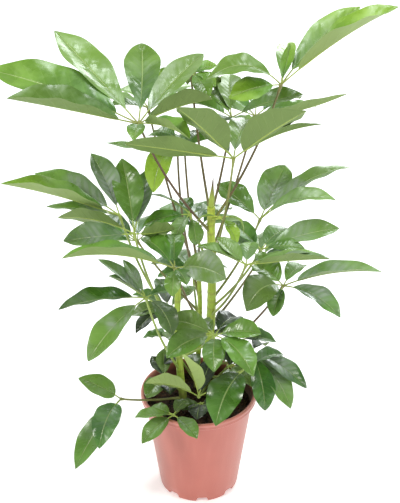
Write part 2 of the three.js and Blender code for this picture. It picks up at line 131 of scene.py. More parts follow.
# Each compound leaf: [name, stem, height where its petiole leaves the stem, place of the knuckle,
# leaflets as [compass, rise, length, lean, width, bow]]. Compass 0 is right and 90 is to the back, a rise is
# above the horizontal, and a lean turns the upper face towards the front. A width is a share of the usual
# one, and a bow is how high the leaflet arches, as a share of its length. A row that ends early leaves a
# lean of 0, a width of 1 or the usual bow unsaid.
LEAVES = [
    ["leaf_upper_left", "stem_tall", 475, [-85, -60, 690],
        [[164, 14, 233, 22, 1.13, 0.02], [-168, 17, 190, 0, 1, 0], [134, 26, 202, -5, 1.15, 0],
         [90, 21, 166, 0, 1.12, 0.03], [56, 17, 172, 12, 0.85, 0.05], [30, 5, 122, -45, 1, 0.05],
         [-38, 2, 92, -25, 1.2], [-96, -3, 50]]],
    ["leaf_young_upper", "stem_back", 340, [-32, 44, 616],
        [[-117, -35, 95, 25, 1.1, 0.2], [-165, 4, 110, 10, 0.5, -0.09], [135, -5, 50, 0, 1.2]]],
    ["leaf_crown_back", "stem_tall", 498, [-12, 110, 694],
        [[20, 9, 44, 20, 0.9], [-150, -24, 62, 25, 1.6], [-60, -20, 58, 25, 1.1], [-30, -16, 45],
         [140, -30, 80], [95, -35, 80], [50, -40, 80]]],
    ["leaf_crown_middle", "stem_tall", 505, [50, 80, 635],
        [[90, 13, 110], [113, 17, 90], [-115, 10, 60], [-8, 16, 180, -30, 0.8, -0.06], [5, 17, 114, 10],
         [-63, 10, 60], [150, 5, 90]]],
    ["leaf_crown_front", "stem_tall", 420, [50, -70, 640],
        [[-142, 47, 147, -40, 1.3], [-166, 19, 162, -62, 0.9, 0.02], [-40, 42, 165, -45, 1.25],
         [-15, 29, 142, -20, 1, 0.07], [77, 2, 110], [120, 5, 90]]],
    ["leaf_top_right", "stem_tall", 490, [120, 20, 715],
        [[29, 22, 220, -42], [47, 21, 196, 20, 0.8], [75, 37, 71, 15, 0.6], [82, 9, 120, 0, 0.75],
         [-165, -9, 80, 20, 1.5, 0.05], [178, 3, 109, 22, 1.1, 0.24]]],
    ["leaf_slender_back", "stem_back", 385, [-22, 80, 585],
        [[61, -5, 70], [145, 0, 70], [100, -8, 60], [25, 0, 70]]],
    ["leaf_right_upper", "stem_tall", 350, [95, 30, 485],
        [[67, 22, 117, 0, 1.3], [30, 16, 173, -5, 0.78, 0.13], [-2, 17, 121, 10, 0.9, 0.14],
         [145, 25, 90, 10, 1.35]]],
    ["leaf_right_middle", "stem_tall", 335, [95, -20, 460],
        [[-8, 6, 67, 10], [16, 8, 128, 20, 1, 0.03], [122, 3, 90, 10], [-90, -20, 40],
         [55, 2, 76, 10, 1.2]]],
    ["leaf_right_front", "stem_tall", 320, [70, -90, 475],
        [[140, 25, 62], [-11, 11, 126, -25, 1.1, 0.02], [178, 22, 79, -10], [80, 5, 60],
         [5, 7, 110, -20, 0.8, 0.05]]],
    ["leaf_right_lower", "stem_tall", 235, [128, -60, 420],
        [[-6, 13, 150, -10], [-145, -16, 72, 25, 1.7, 0.3], [-30, -15, 100, 10], [-112, -34, 52],
         [130, 6, 66, 10, 1.5], [60, 0, 70]]],
    ["leaf_drooping_right", "stem_tall", 215, [85, -10, 265],
        [[-73, -44, 97, 0, 1.1], [-45, -38, 110, 10, 1, 0.12], [-25, -24, 105, 10, 1, 0.1], [60, -20, 50],
         [-98, -40, 40]]],
    ["leaf_low_right", "stem_tall", 225, [65, 0, 280],
        [[10, -10, 62, 10], [77, -9, 60], [-110, -20, 50], [150, 0, 50]]],
    ["leaf_low_glossy", "stem_tall", 195, [74, -70, 275],
        [[-120, -27, 108, 10, 1.5], [100, -10, 70], [40, -15, 80]]],
    ["leaf_low_centre", "stem_front", 260, [25, -90, 350],
        [[165, 12, 76, 30, 1.35], [120, -8, 60], [-12, 10, 72, 20, 1.25], [-150, -8, 86, 25, 1.25],
         [-92, -22, 66, 0, 1.2], [-54, -13, 98, 10, 1.2], [60, -5, 70, 0, 1.2]]],
    ["leaf_low_pale", "stem_tall", 175, [0, -50, 205],
        [[175, 14, 88, -70, 1.1, 0.1], [-142, 70, 110, 0, 1.1, 0.04], [65, 37, 70], [25, 12, 80, 10]]],
    ["leaf_rim_front", "stem_front", 168, [-40, -78, 190],
        [[-160, 10, 65, 10, 0.8], [-135, -15, 72, 20, 1, 0.05], [-50, -12, 60, 10, 1, 0.07], [150, -12, 50],
         [60, 5, 40]]],
    ["leaf_left_upper", "stem_front", 320, [-118, -30, 525],
        [[-172, 21, 184, -12, 1, 0.03], [170, 2, 114, 0, 0.7, 0.05], [125, 43, 106, 0, 1.1],
         [152, 13, 154, 10, 1.1, 0.06]]],
    ["leaf_left_middle", "stem_front", 305, [-96, -50, 505],
        [[172, 9, 117, -60, 1.05], [-170, -1, 106, 30, 1.15, 0.02], [10, 3, 62, -70, 1.35, -0.03],
         [80, 27, 122, 10, 0.8], [103, 34, 122, 0, 1.15]]],
    ["leaf_left_front", "stem_tall", 285, [-35, -100, 475],
        [[-178, 7, 166, -20, 0.95, 0.09], [-15, -4, 78, 40, 1.6], [126, 13, 85, 0, 1.1], [90, 9, 80],
         [-63, -10, 40], [-95, -35, 45]]],
    ["leaf_left_lower", "stem_front", 235, [-80, -70, 405],
        [[-170, -3, 133, 0, 1, 0.07], [-140, -31, 130, 20, 1, 0.09], [160, 23, 66, -25, 1.5],
         [140, 17, 103, 0, 0.6], [123, 27, 75, 0, 0.6], [-45, -35, 70, 10, 1.2], [20, 0, 50]]],
    ["leaf_centre", "stem_tall", 410, [-13, 10, 505],
        [[-172, -11, 74, 25, 0.9, 0.06], [-125, -35, 48], [40, 0, 60], [-65, -35, 48], [109, -9, 40],
         [168, 23, 70, -28, 0.6, 0.12]]],
    ["young_leaf", "stem_tall", 500, [32, -16, 514],
        [[-60, -45, 48, 0, 0.9, 0.15], [172, -24, 42, 0, 0.3, 0.25], [-5, -36, 45, 0, 0.3, 0.35]]],
    ["leaf_over_rim", "stem_front", 180, [-124, -60, 208],
        [[173, 27, 76, 20, 1.25], [-132, -37, 131, 15, 0.95, 0.1], [-112, -25, 92, 15, 1.25, 0.16]]],
    ["leaf_behind_left", "stem_back", 230, [-50, 60, 300],
        [[-170, -5, 60, 20], [150, 5, 70], [100, 5, 85], [-140, -15, 70], [50, 0, 70]]],
    ["leaf_rim_left", "stem_front", 190, [-55, 10, 200],
        [[-120, -5, 58, 20, 1.2], [125, 25, 45], [95, 35, 50], [-60, 5, 55, 0, 1.2]]],
    ["leaf_soil_front", "stem_front", 167, [3, -32, 178],
        [[-98, -2, 42, 0, 1.3], [-45, 2, 42, 0, 1.3], [5, 5, 36, 0, 1.2], [-145, 2, 36, 0, 1.2]]],
    ["leaf_low_middle", "stem_tall", 175, [48, 34, 205],
        [[-84, -8, 72], [-50, -8, 60, 10], [-12, -8, 72, 15], [22, -8, 65], [62, -15, 75], [115, -12, 70]]],
    ["leaf_low_inner", "stem_back", 192, [-14, 48, 222],
        [[175, -30, 59, 20, 1.3], [130, -12, 72], [90, -15, 75], [50, -12, 70], [-150, -5, 50, 20],
         [-60, 0, 45]]],
    ["leaf_back_upper_left", "stem_back", 370, [-80, 160, 615],
        [[170, 5, 85], [125, -4, 95], [90, -5, 130], [50, 0, 110], [10, 5, 80], [-150, 15, 70]]],
    ["leaf_back_upper_right", "stem_tall", 440, [90, 160, 600],
        [[10, 5, 100], [50, -5, 120], [90, -5, 125], [130, 0, 110], [170, 10, 80], [-30, 10, 80]]],
    ["leaf_back_middle", "stem_back", 350, [0, 155, 400],
        [[15, 0, 80], [55, -5, 95], [95, -5, 100], [135, 0, 95], [175, 5, 70]]],
    ["leaf_back_left", "stem_back", 310, [-100, 110, 400],
        [[165, 5, 80], [130, -5, 110], [90, -10, 110], [50, -5, 90], [-150, 10, 70]]],
    ["leaf_back_right", "stem_tall", 300, [100, 110, 368],
        [[15, -10, 60], [50, -8, 100], [90, -10, 110], [130, -5, 90], [-15, 0, 50]]],
    ["leaf_back_low", "stem_back", 270, [-10, 140, 320],
        [[25, -5, 65], [70, -10, 90], [110, -10, 100], [150, -5, 85], [-170, 0, 60]]],
    ["leaf_low_back_right", "stem_back", 190, [60, 90, 232],
        [[0, -10, 60], [45, -30, 60], [90, -20, 85], [135, -10, 60]]],
    ["leaf_low_back_left", "stem_back", 166, [-50, 90, 225],
        [[175, -5, 45], [135, -20, 55], [95, -20, 85], [50, -10, 60]]],
]

# How yellow a leaf is, from 0 on an old one to 1 on one just opened. Leaves not named here go by their
# height: [height of the knuckle, how yellow].
YOUTH_BY_HEIGHT = [[250, 0.02], [450, 0.12], [620, 0.24], [700, 0.34]]
YOUTH = {"young_leaf": 1.0, "leaf_top_right": 0.45, "leaf_upper_left": 0.28}
# Leaflets that are younger or older than the rest of their leaf: {leaf: {leaflet: how yellow}}.
LEAFLET_YOUTH = {
    "leaf_young_upper": {0: 0.85},
    "leaf_crown_back": {1: 0.5},
    "leaf_top_right": {0: 0.5, 5: 0.3},
    "leaf_low_pale": {0: 0.9, 1: 0.9},
    "leaf_left_upper": {0: 0.4},
}
# How much painted greyish sheen leaflets carry, as patches of painted highlight. The others have up to the
# usual share, by chance.
USUAL_PAINTED_SHEEN = 0.3
PAINTED_SHEEN = {
    "leaf_upper_left": {0: 0.1, 1: 0, 2: 0.2, 4: 0.5},
    "leaf_young_upper": {0: 0},
    "leaf_crown_back": {1: 1.0},
    "leaf_top_right": {5: 0},
    "leaf_right_upper": {0: 0.5, 1: 0.7, 2: 0.3},
    "leaf_right_middle": {1: 0.4},
    "leaf_right_front": {1: 0.7},
    "leaf_right_lower": {0: 0.6, 1: 0.2, 2: 0.9, 4: 0.9},
    "leaf_drooping_right": {1: 0.4, 2: 0.6},
    "leaf_low_glossy": {0: 0},
    "leaf_low_centre": {0: 0, 3: 0, 4: 0},
    "leaf_left_upper": {0: 0, 1: 0.6, 2: 0.8, 3: 0.7},
    "leaf_left_middle": {1: 0.6, 2: 0.5, 3: 0.65, 4: 0},
    "leaf_left_front": {1: 0.8},
    "leaf_left_lower": {0: 0.5, 1: 0.7, 2: 0.8, 3: 0.7, 4: 0.7},
    "leaf_centre": {2: 0.5},
    "leaf_over_rim": {0: 0.2, 1: 0.2, 2: 0.2},
}
# How dark leaflets are, below 0 for those that catch the light. The others are from 0 to 1, by chance.
SHADED = {
    "leaf_upper_left": {1: 1.0, 3: 0.8, 4: 1.2},
    "leaf_crown_middle": {0: 1.2, 1: 1.2, 2: 1.2},
    "leaf_crown_front": {0: 1.0, 1: 0.8, 2: 1.1, 3: 1.1, 4: 1.2, 5: 1.2},
    "leaf_top_right": {5: 1.0},
    "leaf_right_lower": {1: 1.4},
    "leaf_low_centre": {3: 0.8},
    "leaf_low_pale": {0: -1.4, 1: -1.2},
    "leaf_left_middle": {4: 0.8},
    "leaf_left_front": {1: 1.3},
    "young_leaf": {0: 0},
}
# How purple its petiole is. Petioles not named here are green.
PURPLE = {
    "leaf_upper_left": 1.0, "leaf_top_right": 0.9, "leaf_crown_back": 0.9, "leaf_crown_middle": 0.9,
    "leaf_crown_front": 0.55, "leaf_slender_back": 0.9, "leaf_right_upper": 0.5, "leaf_right_lower": 1.0,
    "leaf_left_front": 0.9, "leaf_over_rim": 0.6, "leaf_drooping_right": 0.6, "leaf_low_right": 0.6,
    "leaf_young_upper": 0.9, "leaf_back_upper_left": 0.9, "leaf_back_upper_right": 0.9,
    "leaf_back_middle": 0.8, "leaf_back_left": 0.6, "leaf_back_right": 0.8, "leaf_right_front": 0.3,
    "leaf_right_middle": 0.3,
}
# Leaflets whose shape isn't left to chance: {leaf: {leaflet: (how steeply the margins rise from the midrib,
# how far out it is fullest, twist in degrees)}}.
SHAPES = {
    "leaf_upper_left": {
        0: (0.57, 1.05, 0), 1: (1.1, 1.1, 0), 2: (0.5, 1.4, 0), 3: (0.5, 1.45, 0), 4: (0.6, 1.1, 10),
        5: (1.1, 1.0, 0), 6: (0.9, 1.0, 0),
    },
    "leaf_left_upper": {0: (0.9, 1.0, 0)},
    "leaf_left_front": {0: (0.9, 1.0, 0)},
    "leaf_left_lower": {0: (0.7, 1.0, 0)},
    "leaf_right_front": {1: (0.7, 1.0, 0)},
    "leaf_right_lower": {0: (0.7, 0.85, 0)},
    "leaf_over_rim": {0: (0.4, 0.8, 0), 1: (0.5, 1.0, 0), 2: (0.4, 0.8, 0)},
    "leaf_low_glossy": {0: (0.4, 0.95, 0)},
    "leaf_crown_front": {0: (0.7, 1.0, 0), 2: (0.7, 1.0, 0)},
    "leaf_top_right": {
        0: (0.8, 1.0, 68), 1: (0.5, 1.1, 0), 2: (1.3, 1.0, 50), 4: (0.3, 1.1, 0), 5: (0.45, 1.2, 0),
    },
}

PETIOLE_BOW_OUT = 0.064  # shares of the petiole's length
PETIOLE_BOW_DOWN = 0.048
PETIOLE_SIDES = 12
PETIOLE_STEPS = 30
STALKLET_SHARE = 0.15  # of a leaflet's length
RIB_SIDES = 8
RIB_STEPS = 26
RIB_END = 0.93  # of the leaflet's length
RIB_SINK = 0.75  # of its radius, into the blade
RIB_SINK_LENGTH = 0.06  # of the blade's length, over which it sinks in
RIB_THINNEST = 0.75  # of the usual radius, for the shortest leaflets
RIB_USUAL_LENGTH = 150  # of the leaflets from which on it is as thick as usual
RIB_LEAST_YOUTH = 0.3
# The petiole's radius along it: [share of its length, radius in mm].
PETIOLE_RADII = [[0, 3.6], [0.03, 3.0], [0.09, 2.1], [0.5, 1.8], [0.93, 1.6], [0.975, 2.3], [1, 2.9]]
# How much of its purple a petiole shows along it.
PETIOLE_TINT = [[0, 0.55], [0.25, 1], [0.8, 1], [1, 0.8]]
# The radius of a stalklet and its midrib: [share of the blade's length, below 0 before it, radius in mm].
RIB_RADII = [[-0.18, 1.7], [-0.14, 1.25], [0, 1.1], [0.1, 0.95], [1, 0.2]]
# How much of the petiole's purple it shows: [share of the leaflet's length, share of the purple].
RIB_TINT = [[0, 0.5], [STALKLET_SHARE, 0.2], [0.3, 0]]
KNUCKLE_DOME = 1.6  # how far the petiole's rounded end goes past the knuckle's middle

USUAL_LEAFLET = (0, 0, 0, 0, 1, None)  # its last values stand for those that a row leaves out
LEAFLET_WIDTH_BASE = 16
LEAFLET_WIDTH_SHARE = 0.2
LEAFLET_BOW = 0.1
LEAFLET_BOW_PER_DEGREE = 0.0025
LEAFLET_BOW_RANGE = (0.02, 0.2)
TOP_SLOT, UNDERSIDE_SLOT, STALK_SLOT = 0, 1, 2  # of a leaf's materials
BLADE_ROWS = 36
BLADE_COLUMNS = (0, 0.035, 0.12, 0.3, 0.52, 0.74, 0.9, 1)  # shares of half the width
BLADE_THICKNESS = 0.7
BLADE_END_WIDTH = 0.012  # of its widest, at its two ends
BLADE_ROUNDNESS = 0.62  # lower is fuller towards the ends
USUAL_FOLD = 0.58  # how steeply the margins rise from the midrib
FOLD_ROUNDING = 0.003
FOLD_LOWERING = 0.055
MARGIN_CURL = 0.16  # how much of the fold the margins lose again
RIPPLE_REACH = 1.7  # higher keeps the ripples nearer to the margins
TWIST_START = 0.3  # how far along a blade its twist is nil
# The ranges of a leaflet's own differences.
FOLDS = (0.7, 1.25)  # shares of the usual fold
FULLEST_PLACES = (1.0, 1.3)
TWISTS = (-12, 12)
SWEEPS = (-0.025, 0.025)  # sideways bows, shares of its length
RIPPLE_HEIGHTS = (0.04, 0.1)  # shares of half its width
RIPPLE_COUNTS = (2.2, 3.4)
POINTEDNESS = (0.35, 0.6)

VEIN_PAIRS = 9
VEIN_SWEEP = 0.15  # how much further out than its foot a vein ends, as a share of the blade
# Blades are darker inside the plant: within a distance of its middle, and from a height downwards.
SHADE_REACH = 130
SHADE_TOP = 480
SHADE_FADE = 200
DEEPEST_SHADE = 1.5


def srgb(red, green, blue):
    """A colour of three 8-bit values as the linear RGBA that shaders take."""
    shares = [value / 255 for value in (red, green, blue)]
    return (*[s / 12.92 if s <= 0.04045 else ((s + 0.055) / 1.055) ** 2.4 for s in shares], 1)


def read_off(table, places):
    """What a table of [place, value] rows gives at some places."""
    return np.interp(places, *np.array(table).T)


def in_scene(name, data):
    """A new object in the scene."""
    thing = bpy.data.objects.new(name, data)
    bpy.context.scene.collection.objects.link(thing)
    return thing


# ---- materials ----


class Shader:
    """A node material under construction. Each call adds one node and returns its output."""

    def __init__(self, name, roughness=0.5, specular=0.5, sheen=0.0):
        self.material = bpy.data.materials.new(name)
        self.material.use_nodes = True
        self.tree = self.material.node_tree
        self.surface = self.tree.nodes["Principled BSDF"]
        self.surface.inputs["Roughness"].default_value = roughness
        self.surface.inputs["Specular IOR Level"].default_value = specular
        self.surface.inputs["Sheen Weight"].default_value = sheen

    def put(self, socket, value):
        """Links a node's output to a socket, or sets the socket to a plain value."""
        if isinstance(value, bpy.types.NodeSocket):
            self.tree.links.new(value, socket)
        else:
            socket.default_value = value

    def node(self, kind, output, **inputs):
        """One output of a new node with its sockets set."""
        node = self.tree.nodes.new("ShaderNode" + kind)
        for socket, value in inputs.items():
            self.put(node.inputs[socket], value)
        return node.outputs[output]

    def math(self, operation, first, second=0.0):
        node = self.tree.nodes.new("ShaderNodeMath")
        node.operation = operation
        self.put(node.inputs[0], first)
        self.put(node.inputs[1], second)
        return node.outputs[0]

    def times(self, first, second):
        return self.math("MULTIPLY", first, second)

    def ramp(self, value, start, end, low=0.0, high=1.0):
        """low before start and high after end, with a smooth change between them."""
        node = self.tree.nodes.new("ShaderNodeMapRange")
        node.interpolation_type = "SMOOTHSTEP"
        for socket, given in zip(node.inputs, (value, start, end, low, high)):
            self.put(socket, given)
        return node.outputs[0]

    def mix(self, share, low, high):
        """From one colour to another. Plain ones are three 8-bit values."""
        node = self.tree.nodes.new("ShaderNodeMix")
        node.data_type = "RGBA"
        self.put(node.inputs["Factor"], share)
        for socket, colour in zip(node.inputs[6:8], (low, high)):
            self.put(socket, srgb(*colour) if isinstance(colour, tuple) else colour)
        return node.outputs[2]

    def over(self, colour, mask, strength, tint):
        """A colour with a tint laid over it where a mask is 1, at that strength."""
        return self.mix(self.times(mask, strength), colour, tint)

    def attribute(self, name):
        """The three numbers that the mesh carries under that name."""
        node = self.tree.nodes.new("ShaderNodeAttribute")
        node.attribute_name = name
        return [self.node("SeparateXYZ", axis, Vector=node.outputs["Vector"]) for axis in "XYZ"]

    def place(self, scale=(1, 1, 1)):
        """The point on the piece, stretched by a scale along each axis."""
        return self.node("Mapping", "Vector", Vector=self.node("TexCoord", "Object"), Scale=scale)

    def noise(self, scale, detail=3.0, place=None):
        return self.node("TexNoise", "Fac", Vector=place or self.place(), Scale=scale, Detail=detail)

    def cells(self, scale):
        return self.node("TexVoronoi", "Distance", Vector=self.place(), Scale=scale)

    def bump(self, height, distance):
        """Bumps of a height from 0 to 1, times a distance in metres."""
        normal = self.node("Bump", "Normal", Height=height, Distance=distance)
        self.put(self.surface.inputs["Normal"], normal)

    def finish(self, colour, roughness=None):
        self.put(self.surface.inputs["Base Color"], colour)
        if roughness is not None:
            self.put(self.surface.inputs["Roughness"], roughness)
        return self.material


def vein_masks(shader):
    """How much a point of a blade is midrib, side vein and bulge between side veins, each 0 to 1."""
    across, along, _ = shader.attribute("blade")
    aside = shader.math("ABSOLUTE", across)
    midrib = shader.ramp(aside, 0.022, 0.055, 1.0, 0.0)
    start = shader.math("SUBTRACT", along, shader.times(aside, VEIN_SWEEP))
    phase = shader.math("FRACT", shader.times(shader.math("ADD", start, 1.0), VEIN_PAIRS))
    from_middle = shader.math("ABSOLUTE", shader.math("SUBTRACT", phase, 0.5))
    reach = shader.ramp(aside, 0.55, 0.95, 1.0, 0.0)
    vein = shader.times(shader.ramp(from_middle, 0.42, 0.49), reach)
    bulge = shader.times(shader.ramp(from_middle, 0.5, 0.1), reach)
    return midrib, vein, bulge


def leaf_top():
    """Waxy and puckered, with pale midribs, faint side veins and greyish patches of painted sheen."""
    shader = Shader("leaf_top", specular=0.65, sheen=0.1)
    youth, shade, chance = shader.attribute("look")
    midrib, vein, bulge = vein_masks(shader)
    _, along, painted_sheen = shader.attribute("blade")
    mottle = shader.noise(38, 4)
    blotches = shader.ramp(mottle, 0.3, 0.7)
    old = shader.mix(blotches, (40, 96, 12), (72, 132, 26))
    young = shader.mix(blotches, (138, 178, 48), (160, 196, 66))
    yellowing = shader.times(youth, shader.ramp(along, 0.1, 0.8, 0.45, 1.5))
    green = shader.mix(yellowing, old, young)
    dark = shader.over(green, shader.ramp(shade, 0.4, 1.6), 0.97, (8, 30, 4))
    varied = shader.over(dark, shader.ramp(chance, 0.4, 1.0), 0.5, (140, 180, 78))
    veined = shader.over(varied, vein, 0.12, (150, 180, 104))
    ribbed = shader.over(veined, midrib, 0.6, (166, 190, 116))
    # Painted sheen: greyish patches of painted highlight, fading towards the tip and strongest on the bulges
    # between side veins.
    sheen_patches = shader.ramp(shader.noise(17, 2), 0.36, 0.56)
    sheen_fading = shader.times(sheen_patches, shader.ramp(along, 0.4, 0.8, 1.0, 0.3))
    sheen_mask = shader.times(sheen_fading, shader.ramp(bulge, 0.0, 1.0, 0.65, 1.1))
    with_painted_sheen = shader.over(ribbed, sheen_mask, painted_sheen, (164, 174, 166))
    puckers = shader.times(shader.noise(40, 2), 2.4)
    raised = shader.math("ADD", puckers, shader.times(bulge, 0.22))
    shader.bump(shader.math("SUBTRACT", raised, shader.times(midrib, 0.8)), 0.0007)
    return shader.finish(with_painted_sheen, shader.ramp(mottle, 0.3, 0.7, 0.2, 0.42))


def leaf_underside():
    """Pale and nearly matte, with a raised network of veins."""
    shader = Shader("leaf_underside", specular=0.3)
    youth, shade, chance = shader.attribute("look")
    midrib, vein, bulge = vein_masks(shader)
    mottle = shader.noise(30, 3)
    old = shader.mix(shader.ramp(mottle, 0.3, 0.7), (112, 138, 68), (130, 156, 88))
    green = shader.mix(youth, old, (172, 194, 116))
    dark = shader.over(green, shade, 0.6, (74, 104, 36))
    varied = shader.over(dark, chance, 0.4, (158, 180, 118))
    veined = shader.over(varied, vein, 0.12, (170, 192, 122))
    ribbed = shader.mix(midrib, veined, (176, 194, 120))
    shader.bump(shader.math("SUBTRACT", vein, shader.times(bulge, 0.4)), 0.0003)
    return shader.finish(ribbed, shader.ramp(mottle, 0.2, 0.8, 0.5, 0.66))


def stalk_material():
    """Petioles and stalklets: green to purple-brown, streaked along them."""
    shader = Shader("stalk", specular=0.4)
    purple, young, _ = shader.attribute("look")
    streak = shader.noise(1, 3, shader.place((900, 900, 60)))
    green = shader.mix(streak, (134, 160, 74), (172, 190, 104))
    fresh = shader.mix(young, green, (184, 204, 90))
    dark = shader.mix(streak, (84, 62, 50), (128, 104, 78))
    shader.bump(streak, 0.0002)
    return shader.finish(shader.mix(purple, fresh, dark), shader.ramp(streak, 0.2, 0.8, 0.34, 0.5))


def stem_material():
    """Bright green stems with pale pores and browner scars and foot."""
    shader = Shader("stem", specular=0.4)
    scar, _, height = shader.attribute("look")
    streak = shader.noise(1, 3, shader.place((420, 420, 26)))
    pores = shader.ramp(shader.cells(260), 0.12, 0.26, 1.0, 0.0)
    green = shader.mix(streak, (152, 182, 60), (190, 212, 88))
    fresh = shader.mix(shader.ramp(height, 0.4, 0.9, 0.0, 0.6), green, (204, 222, 76))
    aged = shader.mix(shader.ramp(height, 0.0, 0.22, 0.75, 0.0), fresh, (112, 118, 62))
    scarred = shader.over(aged, scar, 0.4, (140, 122, 78))
    speckled = shader.over(scarred, pores, 0.35, (196, 204, 138))
    shader.bump(shader.math("ADD", streak, pores), 0.0003)
    return shader.finish(speckled, shader.ramp(streak, 0.2, 0.8, 0.38, 0.55))


def pot_material():
    """Moulded terracotta-coloured plastic: fine grain and faint flow marks, with painted sheen lightening
    the rim's top and painted shade darkening the inside wall.
    """
    shader = Shader("pot", specular=0.6, sheen=0.3)
    inside, _, height = shader.attribute("look")
    cloud = shader.noise(9, 3)
    grain = shader.noise(900, 2)
    flow = shader.noise(1, 2, shader.place((60, 60, 3)))
    base = shader.mix(shader.ramp(cloud, 0.3, 0.7), (186, 97, 82), (195, 107, 92))
    flowed = shader.over(base, shader.ramp(flow, 0.4, 0.75), 0.14, (212, 140, 126))
    # Painted sheen: the top of the rim is painted lighter.
    painted_rim_sheen = shader.mix(shader.ramp(height, 0.93, 1.0, 0.0, 0.3), flowed, (216, 150, 138))
    speck = shader.ramp(shader.noise(300, 2), 0.66, 0.74, 0.0, 0.35)
    shader.bump(grain, 0.00012)
    specked = shader.mix(speck, painted_rim_sheen, (176, 92, 76))
    # Painted shade: the inside wall is painted darker.
    shaded_inside = shader.over(specked, inside, 0.8, (70, 38, 32))
    return shader.finish(shaded_inside, shader.ramp(cloud, 0.2, 0.8, 0.36, 0.5))


def soil_material():
    """Moist peat with paler fibres and crumbs."""
    shader = Shader("soil", specular=0.25)
    crumb, _, _ = shader.attribute("look")
    coarse = shader.noise(140, 5)
    fine = shader.noise(700, 4)
    dark = shader.mix(shader.ramp(coarse, 0.35, 0.65), (30, 20, 14), (66, 46, 32))
    mixed = shader.over(dark, shader.ramp(fine, 0.6, 0.72), 0.5, (120, 94, 66))
    lighter = shader.over(mixed, crumb, 0.55, (112, 82, 56))
    shader.bump(shader.math("ADD", coarse, fine), 0.0016)
    return shader.finish(lighter, shader.ramp(coarse, 0.2, 0.8, 0.75, 0.95))


# ---- meshes ----


class Surface:
    """The points and faces of one piece, gathered part by part."""

    def __init__(self):
        self.points = []
        self.faces = []
        self.slots = []
        self.marks = {"blade": [], "look": []}
        self.margins = []
        self.size = 0

    def add(self, points, faces, slot, look, blade=None, margin=None):
        """Adds points and the faces between them. look is one value for all points, or one for each."""
        points = np.asarray(points, float).reshape(-1, 3)
        count = len(points)
        self.points.append(points)
        self.faces += [tuple(int(corner) + self.size for corner in face) for face in faces]
        self.slots += [slot] * len(faces) if isinstance(slot, int) else slot
        self.marks["look"].append(np.broadcast_to(look, (count, 3)))
        self.marks["blade"].append(np.zeros((count, 3)) if blade is None else blade)
        self.margins.append(np.zeros(count, bool) if margin is None else margin)
        self.size += count

    def add_tube(self, path, radii, sides, looks, slot=0):
        """Adds a round tube along a path in mm, with one look for each point of the path."""
        points, faces = tube(path, radii, sides)
        self.add(points * MM, faces, slot, np.repeat(looks, sides, axis=0))

    def piece(self, name, slot, node, materials):
        """The Blender object of it all, standing for a CAD node."""
        mesh = bpy.data.meshes.new(name)
        mesh.from_pydata(np.concatenate(self.points).tolist(), [], self.faces)
        for material in materials:
            mesh.materials.append(material)
        mesh.polygons.foreach_set("material_index", self.slots)
        mesh.shade_smooth()
        for mark, values in self.marks.items():
            layer = mesh.attributes.new(mark, "FLOAT_VECTOR", "POINT")
            layer.data.foreach_set("vector", np.concatenate(values).astype(np.float32).ravel())
        self.sharpen(mesh)
        mesh.validate()
        piece = in_scene(name, mesh)
        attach(piece, "root")
        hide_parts(node)
        return piece

    def sharpen(self, mesh):
        """Keeps the shading of a blade's two faces apart at its margins."""
        margin = np.concatenate(self.margins)
        ends = np.zeros(len(mesh.edges) * 2, np.int32)
        mesh.edges.foreach_get("vertices", ends)
        sharp = margin[ends.reshape(-1, 2)].all(1)
        layer = mesh.attributes.new("sharp_edge", "BOOLEAN", "EDGE")
        layer.data.foreach_set("value", sharp)


def ring_faces(rows, columns):
    """Quads of a grid of points that closes on itself along each row, facing out of a rising tube."""
    faces = []
    for row in range(rows - 1):
        for column in range(columns):
            beside = (column + 1) % columns
            low, high = row * columns, (row + 1) * columns
            faces.append((low + column, low + beside, high + beside, high + column))
    return faces


def fan_faces(middle, first, columns):
    """Triangles from a middle point to the ring of points that starts at first, facing up."""
    return [(middle, first + i, first + (i + 1) % columns) for i in range(columns)]


def flipped(faces):
    return [face[::-1] for face in faces]


def circle(radius, count):
    """Points round a circle."""
    angles = [2 * math.pi * i / count for i in range(count)]
    return [(radius * math.cos(angle), radius * math.sin(angle)) for angle in angles]


def look_along(first, second=0):
    """The look of points along a tube, from its first two numbers."""
    return np.stack([first, np.full_like(first, second), np.zeros_like(first)], 1)


def tube(path, radii, sides):
    """Points and faces of a round tube along a path, with closed ends."""
    path = np.asarray(path, float)
    tangents = np.gradient(path, axis=0)
    tangents /= np.linalg.norm(tangents, axis=1)[:, None]
    aside = np.cross(tangents[0], [0.3, 0.9, 0.1])
    angles = np.linspace(0, 2 * math.pi, sides, endpoint=False)
    rings = []
    for point, tangent, radius in zip(path, tangents, radii):
        aside = aside - tangent * (aside @ tangent)
        aside /= np.linalg.norm(aside)
        other = np.cross(tangent, aside)
        rings.append(point + radius * (np.outer(np.cos(angles), aside) + np.outer(np.sin(angles), other)))
    points = np.concatenate(rings)
    faces = ring_faces(len(path), sides)
    faces.append(tuple(range(sides))[::-1])
    faces.append(tuple(range((len(path) - 1) * sides, len(path) * sides)))
    return points, faces


def dome(path, radii, reach, steps=4):
    """The path and radii with a rounded end added that reaches that far on."""
    path, radii = [np.asarray(p, float) for p in path], list(radii)
    onwards = path[-1] - path[-2]
    onwards /= np.linalg.norm(onwards)
    end, radius = path[-1], radii[-1]
    for step in range(1, steps + 1):
        angle = math.pi / 2 * step / (steps + 0.3)
        path.append(end + onwards * reach * math.sin(angle))
        radii.append(radius * math.cos(angle))
    return path, radii


# ---- the pot ----


def wall_radius(height):
    top = RIM_RADIUS - RIM_OVERHANG
    return BASE_RADIUS + (top - BASE_RADIUS) * height / (POT_HEIGHT - RIM_BAND_HEIGHT)


